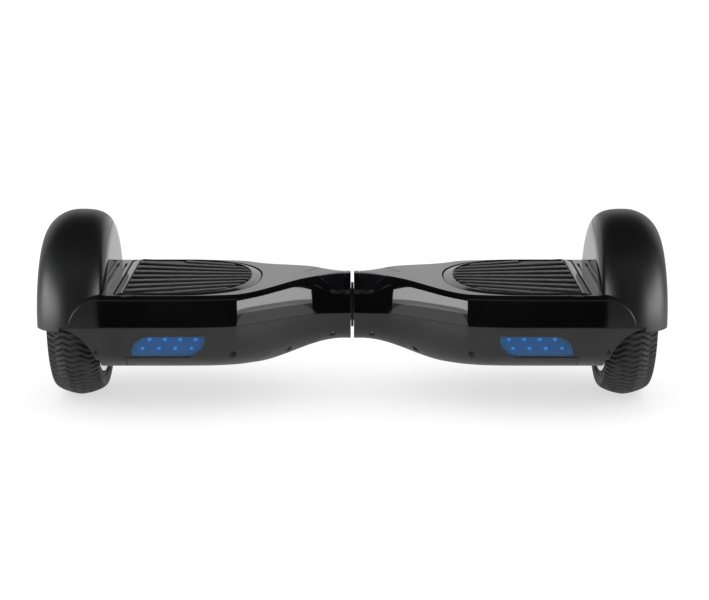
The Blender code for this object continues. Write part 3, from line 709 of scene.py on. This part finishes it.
def lamp_tray(name):
    """Pale tray behind the lens; its painted glow stands in for the lamps' light spread through it.
    """
    return box(name, (0.1350, 0.2055), (-0.0803, -0.0797), (0.0562, 0.0790))


def cap_outline(grow=0.0):
    """Rounded rectangle of the charge socket's cap in X and Z."""
    reach_x, reach_z, corner = 0.0110 + grow, 0.0065 + grow, 0.0022
    points = []
    for turn, (sx, sz) in enumerate(((1, 1), (-1, 1), (-1, -1), (1, -1))):
        centre = (SOCKET_X + sx * (reach_x - corner), REAR_Z + sz * (reach_z - corner))
        points += arc(centre, (corner, corner), 90 * turn, 90 * turn + 90, 6)
    return points


def socket_cap(name):
    """Rubber cap with a rounded face and a finger lip at its free end."""
    face = [(-0.0004, 0.0899), (0.0, 0.0901), (0.0, 0.0914), (-0.0004, 0.0919), (-0.0012, 0.0921)]
    cap = stack(name, [[(x, y, z) for x, z in cap_outline(grow)] for grow, y in face])
    lip = stack("lip", [[(x, y, z) for x, z in ((SOCKET_X - 0.0100, REAR_Z - a),
                                                (SOCKET_X - 0.0080, REAR_Z - a),
                                                (SOCKET_X - 0.0080, REAR_Z + a),
                                                (SOCKET_X - 0.0100, REAR_Z + a))]
                        for y, a in ((0.0915, 0.0045), (0.0926, 0.0038))])
    return merged([cap, lip], name)


def push_button(name):
    """Round button with a soft edge and a shallow ring groove in its face."""
    low, high = 0.0850, 0.0932
    depth = high - low
    profile = [(0.0, 0.0060), (1 - 0.0008 / depth, 0.0060), (1 - 0.0003 / depth, 0.0057),
               (1.0, 0.0052), (1.0, 0.0040), (1 - 0.0004 / depth, 0.0038),
               (1 - 0.0004 / depth, 0.0032), (1.0, 0.0030), (1.0, 0.0006)]
    return tapered(name, profile, (BUTTON_X, low, REAR_Z), (BUTTON_X, high, REAR_Z), 64)


def socket_pins(name):
    """Three contact pins in the charge socket."""
    pins = []
    for i in range(3):
        angle = radians(90 + 120 * i)
        x, z = SOCKET_X + 0.0030 * cos(angle), REAR_Z + 0.0030 * sin(angle)
        pins.append(tapered("pin", [(0.0, 0.0008), (0.9, 0.0008), (1.0, 0.0004)],
                            (x, 0.0799, z), (x, 0.0870, z), 16))
    return merged(pins, name)


# Materials

def node(tree, kind, place, **settings):
    item = tree.nodes.new(kind)
    item.location = place
    for key, value in settings.items():
        setattr(item, key, value)
    return item


def noise(tree, scale, detail, place, stretch=None):
    """Noise in the piece's own coordinates, optionally stretched."""
    coordinates = node(tree, "ShaderNodeTexCoord", (place[0] - 400, place[1]))
    texture = node(tree, "ShaderNodeTexNoise", place)
    texture.inputs["Scale"].default_value = scale
    texture.inputs["Detail"].default_value = detail
    source = coordinates.outputs["Object"]
    if stretch:
        mapping = node(tree, "ShaderNodeMapping", (place[0] - 200, place[1]))
        mapping.inputs["Scale"].default_value = stretch
        tree.links.new(source, mapping.inputs["Vector"])
        source = mapping.outputs["Vector"]
    tree.links.new(source, texture.inputs["Vector"])
    return texture.outputs["Fac"]


def ramp(tree, source, low, high, place):
    """Two colours blended by a value."""
    colours = node(tree, "ShaderNodeValToRGB", place)
    colours.color_ramp.elements[0].position = 0.3
    colours.color_ramp.elements[1].position = 0.7
    colours.color_ramp.elements[0].color = (*low, 1.0)
    colours.color_ramp.elements[1].color = (*high, 1.0)
    tree.links.new(source, colours.inputs["Fac"])
    return colours.outputs["Color"]


def spread(tree, source, low, high, place):
    """A value from 0 to 1 turned into one from low to high."""
    mapped = node(tree, "ShaderNodeMapRange", place)
    mapped.inputs["From Min"].default_value = 0.3
    mapped.inputs["From Max"].default_value = 0.7
    mapped.inputs["To Min"].default_value = low
    mapped.inputs["To Max"].default_value = high
    tree.links.new(source, mapped.inputs["Value"])
    return mapped.outputs["Result"]


def surface(name, low, high, roughness, metallic=0.0, patch=30, grain=900, relief=0.0001,
            strength=0.3, stretch=None, edge=0.0):
    """Procedural finish: patchy colour, uneven roughness and a fine grain.

    low and high are the darkest and lightest colour, roughness a range, patch and grain the
    noise scales of the patches and the grain, relief the grain's depth and edge the radius
    that softens sharp edges.
    """
    material = bpy.data.materials.new(name)
    material.use_nodes = True
    tree = material.node_tree
    shader = tree.nodes["Principled BSDF"]
    shader.inputs["Metallic"].default_value = metallic
    patches = noise(tree, patch, 3, (-900, 300))
    tree.links.new(ramp(tree, patches, low, high, (-600, 300)), shader.inputs["Base Color"])
    smears = noise(tree, patch * 3, 5, (-900, 0), stretch)
    tree.links.new(spread(tree, smears, *roughness, (-600, 0)), shader.inputs["Roughness"])
    bump = node(tree, "ShaderNodeBump", (-300, -300))
    bump.inputs["Strength"].default_value = strength
    bump.inputs["Distance"].default_value = relief
    tree.links.new(noise(tree, grain, 4, (-900, -300), stretch), bump.inputs["Height"])
    if edge:
        bevel = node(tree, "ShaderNodeBevel", (-600, -500), samples=4)
        bevel.inputs["Radius"].default_value = edge
        tree.links.new(bevel.outputs["Normal"], bump.inputs["Normal"])
    tree.links.new(bump.outputs["Normal"], shader.inputs["Normal"])
    return material


def lens_material():
    """Translucent blue plastic."""
    material = surface("lens_blue", (0.05, 0.28, 0.62), (0.07, 0.34, 0.72), (0.10, 0.16), patch=60,
                       grain=300)
    shader = material.node_tree.nodes["Principled BSDF"]
    shader.inputs["Transmission Weight"].default_value = 1.0
    shader.inputs["IOR"].default_value = 1.45
    return material


def glow_material(name, low, high, light, power):
    """Pale plastic that gives off a little light: the lamps' own light, and a painted glow on the
    tray.
    """
    material = surface(name, low, high, (0.4, 0.5), patch=200)
    shader = material.node_tree.nodes["Principled BSDF"]
    shader.inputs["Emission Color"].default_value = (*light, 1.0)
    shader.inputs["Emission Strength"].default_value = power
    return material


def gloss_material():
    """Gloss black plastic that turns to satin on the fender."""
    material = surface("gloss_shell", (0.003, 0.003, 0.0035), (0.006, 0.006, 0.0065),
                       (0.045, 0.075), patch=12, grain=260, relief=0.00003, strength=0.10,
                       edge=0.0005)
    tree = material.node_tree
    shader = tree.nodes["Principled BSDF"]
    gloss = shader.inputs["Roughness"].links[0].from_socket
    coordinates = node(tree, "ShaderNodeTexCoord", (-1300, 600))
    apart = node(tree, "ShaderNodeSeparateXYZ", (-1100, 600))
    tree.links.new(coordinates.outputs["Object"], apart.inputs["Vector"])
    out = node(tree, "ShaderNodeMath", (-900, 600), operation="ABSOLUTE")
    tree.links.new(apart.outputs["X"], out.inputs[0])
    haze = node(tree, "ShaderNodeMapRange", (-700, 600), interpolation_type="SMOOTHSTEP")
    for key, value in (("From Min", HAZE_START), ("From Max", HAZE_END), ("To Min", 0.0),
                       ("To Max", FENDER_HAZE)):
        haze.inputs[key].default_value = value
    tree.links.new(out.outputs[0], haze.inputs["Value"])
    total = node(tree, "ShaderNodeMath", (-400, 500), operation="ADD")
    tree.links.new(haze.outputs["Result"], total.inputs[0])
    tree.links.new(gloss, total.inputs[1])
    tree.links.new(total.outputs[0], shader.inputs["Roughness"])
    return material


def make_materials():
    made = {}
    gloss = dict(patch=12, grain=260, relief=0.00003, strength=0.10, edge=0.0005)
    made["gloss_shell"] = gloss_material()
    made["indicator_panel"] = surface("indicator_panel", (0.004, 0.004, 0.005),
                                      (0.008, 0.008, 0.009), (0.10, 0.15), **gloss)
    made["matte_shell"] = surface("matte_shell", (0.036, 0.036, 0.037), (0.046, 0.046, 0.047),
                                  (0.42, 0.52), patch=25, grain=1500, relief=0.00012,
                                  strength=0.35, edge=0.0004)
    made["matte_shell"].node_tree.nodes["Principled BSDF"].inputs[
        "Specular IOR Level"].default_value = 0.2
    made["mat_border"] = surface("mat_border", (0.008, 0.008, 0.008), (0.013, 0.013, 0.013),
                                 (0.10, 0.16), patch=40, grain=900, relief=0.00003)
    made["mat_rubber"] = surface("mat_rubber", (0.008, 0.008, 0.008), (0.014, 0.014, 0.014),
                                 (0.38, 0.50), patch=60, grain=1600, relief=0.00010)
    made["tyre_rubber"] = surface("tyre_rubber", (0.008, 0.008, 0.008), (0.015, 0.015, 0.015),
                                  (0.60, 0.75), patch=50, grain=1200, relief=0.00015)
    made["cast_aluminium"] = surface("cast_aluminium", (0.42, 0.42, 0.43), (0.58, 0.58, 0.59),
                                     (0.35, 0.50), 1.0, patch=40, grain=900, relief=0.0002)
    made["silver_cover"] = surface("silver_cover", (0.72, 0.72, 0.73), (0.76, 0.76, 0.77),
                                   (0.29, 0.32), 1.0, patch=40, grain=500, relief=0.00004,
                                   stretch=(6.0, 1.0, 1.0), edge=0.0004)
    made["steel"] = surface("steel", (0.42, 0.42, 0.44), (0.56, 0.56, 0.58), (0.22, 0.34), 1.0,
                            patch=80, grain=700, relief=0.00005, stretch=(8.0, 1.0, 1.0))
    made["magnet"] = surface("magnet", (0.16, 0.16, 0.17), (0.24, 0.24, 0.25), (0.3, 0.4), 1.0)
    made["winding"] = surface("winding", (0.40, 0.15, 0.05), (0.62, 0.28, 0.10), (0.3, 0.45), 1.0,
                              patch=90, grain=500, relief=0.0004, stretch=(0.3, 4.0, 4.0))
    made["board_green"] = surface("board_green", (0.010, 0.075, 0.030), (0.02, 0.14, 0.06),
                                  (0.35, 0.5), patch=220, grain=700, relief=0.0001)
    made["battery_wrap"] = surface("battery_wrap", (0.02, 0.06, 0.25), (0.03, 0.09, 0.34),
                                   (0.25, 0.4), patch=30, grain=120, relief=0.0003)
    made["bush_polymer"] = surface("bush_polymer", (0.020, 0.020, 0.020), (0.032, 0.032, 0.032),
                                   (0.45, 0.6), patch=80)
    made["cable_jacket"] = surface("cable_jacket", (0.014, 0.014, 0.014), (0.022, 0.022, 0.022),
                                   (0.4, 0.5), patch=80, grain=600)
    made["lens_blue"] = lens_material()
    made["led"] = glow_material("led", (0.6, 0.7, 0.8), (0.7, 0.8, 0.9), (0.45, 0.75, 1.0), 0.55)
    # The tray is no lamp: its own light is a painted glow that stands in for the lamps' light
    # filling the lens.
    made["lamp_tray"] = glow_material("lamp_tray", (0.12, 0.24, 0.28), (0.16, 0.30, 0.35),
                                      (0.12, 0.72, 0.80), 0.14)
    return made


def paint_cad_nodes():
    """Give every CAD node the procedural finish of its slot."""
    for item in frame["nodes"].values():
        for slot in item.material_slots:
            name = slot.material.name.split(".")[0]
            slot.material = materials.get(name, materials["bush_polymer"])


# Putting pieces on the bodies

def finish(item, material):
    if material:
        item.data.materials.clear()
        item.data.materials.append(materials[material])
    item.data.shade_smooth()
    item.data.set_sharp_from_angle(angle=radians(32))
    weigh = item.modifiers.new("even_normals", "WEIGHTED_NORMAL")
    weigh.keep_sharp = True
    return item


def place(item, material, body, node_name=None, slot=None):
    finish(item, material)
    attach(item, body)
    if node_name:
        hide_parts(node_name)
    return item


def mirrored(item, name):
    mesh = item.data.copy()
    mesh.transform(Matrix.Scale(-1, 4, Vector((1, 0, 0))))
    mesh.flip_normals()
    return new_object(name, mesh)


def add_pair(name, make, material, body, node_name=None, slot=None, last_cut=None):
    """Right piece and its mirror image on the left; last_cut is for the right piece only."""
    right = make("right_" + name)
    left = mirrored(right, "left_" + name)
    if last_cut:
        last_cut(right)
    for side, item in (("left", left), ("right", right)):
        place(item, material, side + "_" + body, node_name and side + "_" + node_name, slot)


def build_halves():
    add_pair("shell_top", shell_top, "gloss_shell", "half", "upper_shell", "gloss_shell")
    add_pair("shell_bottom", shell_bottom, "matte_shell", "half", "lower_shell", "matte_shell",
             cut_rear_openings)
    add_pair("neck_panel", neck_panel, "indicator_panel", "half", "top_panel", "indicator_panel")
    add_pair("lamp_lens", lamp_lens, "lens_blue", "half", "led_lens", "lens_blue")
    add_pair("lamp_leds", lamp_leds, "led", "half")
    add_pair("lamp_tray", lamp_tray, "lamp_tray", "half")
    add_pair("well_screws", well_screws, "steel", "half", slot="steel")
    add_pair("ribbed_mat", foot_mat, None, "mat", "foot_mat", "mat_rubber")


def build_wheels():
    add_pair("tread_tyre", tyre, "tyre_rubber", "wheel", "tyre", "tyre_rubber")
    add_pair("motor_rim", motor_rim, "cast_aluminium", "wheel", "rim", "cast_aluminium")
    add_pair("hub_dome", hub_dome, "silver_cover", "wheel", "hub_cap", "silver_cover")
    add_pair("motor_cover", motor_cover, "silver_cover", "wheel", "rotor_cover", "silver_cover")
    add_pair("cover_screws", cover_screws, "steel", "wheel", slot="steel")


def build_rear_controls():
    place(socket_cap("socket_cap"), "mat_rubber", "charge_cap", "charge_cap", "mat_rubber")
    place(push_button("push_button"), "matte_shell", "power_button", "power_button", "matte_shell")
    place(socket_pins("socket_pins"), "steel", "right_half", slot="steel")


# Stage, camera and light

def build_camera():
    data = bpy.data.cameras.new("camera")
    data.lens, data.sensor_width, data.shift_x = CAMERA_LENS, 36.0, CAMERA_SHIFT
    camera = new_object("camera", data)
    elevation = radians(CAMERA_ELEVATION)
    back = Vector((0.0, -cos(elevation), sin(elevation)))
    camera.location = CAMERA_TARGET + back * CAMERA_DISTANCE
    camera.rotation_euler = (-back).to_track_quat("-Z", "Y").to_euler()
    bpy.context.scene.camera = camera


def build_floor():
    """Plain pale floor, partly self lit so that it ends unseen against the white world."""
    angles = [2 * pi * i / 96 for i in range(96)]
    floor = stack("floor", [[(FLOOR_RADIUS * cos(a), FLOOR_RADIUS * sin(a), z) for a in angles]
                            for z in (-0.02, 0.0)])
    floor.data.materials.append(surface("floor_white", (0.49, 0.49, 0.49), (0.51, 0.51, 0.51),
                                        (0.8, 0.9), patch=2, grain=30, relief=0.00002))
    shader = floor.data.materials[0].node_tree.nodes["Principled BSDF"]
    shader.inputs["Specular IOR Level"].default_value = 0.0
    shader.inputs["Emission Color"].default_value = (1.0, 1.0, 1.0, 1.0)
    shader.inputs["Emission Strength"].default_value = FLOOR_LIGHT
    floor.visible_glossy = False
    floor.visible_diffuse = False


def build_world():
    """White above and dim below, seen by the camera and by matte surfaces but not in gloss."""
    world = bpy.data.worlds.new("studio")
    world.use_nodes = True
    tree = world.node_tree
    background = tree.nodes["Background"]
    coordinates = node(tree, "ShaderNodeTexCoord", (-800, 0))
    apart = node(tree, "ShaderNodeSeparateXYZ", (-600, 0))
    tree.links.new(coordinates.outputs["Generated"], apart.inputs["Vector"])
    shade = node(tree, "ShaderNodeMapRange", (-400, 0))
    for key, value in (("From Min", -0.45), ("From Max", -0.12), ("To Min", WORLD_BELOW),
                       ("To Max", WORLD_ABOVE)):
        shade.inputs[key].default_value = value
    tree.links.new(apart.outputs["Z"], shade.inputs["Value"])
    tree.links.new(shade.outputs["Result"], background.inputs["Color"])
    background.inputs["Strength"].default_value = 1.0
    world.cycles_visibility.glossy = False
    bpy.context.scene.world = world


def card(name, centre, aim, size, brightness):
    """Soft light panel that shows in gloss and leaves matte surfaces alone."""
    data = bpy.data.lights.new(name, "AREA")
    data.shape = "RECTANGLE"
    data.size, data.size_y = size
    data.energy = brightness * pi * size[0] * size[1]
    light = new_object(name, data)
    light.location = centre
    light.rotation_euler = (Vector(aim) - Vector(centre)).to_track_quat("-Z", "Y").to_euler()
    light.visible_camera = False
    light.visible_diffuse = False
    return light


def share(light, items, state):
    """Let a light reach only these pieces (INCLUDE) or all the others (EXCLUDE)."""
    group = bpy.data.collections.new("receivers")
    for item in items:
        group.objects.link(item)
    light.light_linking.receiver_collection = group
    for entry in group.collection_objects:
        entry.light_linking.link_state = state


def build_lights():
    """Strong narrow cards for the gloss black, weaker wide ones for the silver covers."""
    silver = [item for item in bpy.context.scene.objects
              if item.name.endswith(("hub_dome", "motor_cover", "motor_rim", "cover_screws"))]
    card("back_card", (0.0, 2.6, 0.85), (0.0, 0.0, 0.85), (7.0, 1.7), 0.8)
    card("front_card", (0.0, -2.0, 2.9), (0.0, 0.0, 0.1), (5.0, 1.0), 0.35)
    for side in (-1, 1):
        for z, height, brightness in ((0.30, 0.50, 7.5), (-0.02, 0.14, 2.5), (-0.25, 0.32, 0.5)):
            bright = card("side_card", (side * 1.35, -0.50, z), (0.0, -0.07, z), (1.5, height),
                          brightness)
            share(bright, silver, "EXCLUDE")
        soft = card("silver_card", (side * 2.2, 0.0, 0.9), (0.0, 0.0, 0.5), (4.5, 1.6), 0.8)
        share(soft, silver, "INCLUDE")
    card("table_card", (0.0, 1.05, -0.03), (0.0, 1.05, 1.0), (4.0, 3.0), 0.9)


for item in list(bpy.data.objects):
    bpy.data.objects.remove(item)
bpy.context.scene.view_settings.view_transform = "Standard"
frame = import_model()
build_camera()
materials = make_materials()
paint_cad_nodes()
build_halves()
build_wheels()
build_rear_controls()
build_world()
build_floor()
build_lights()
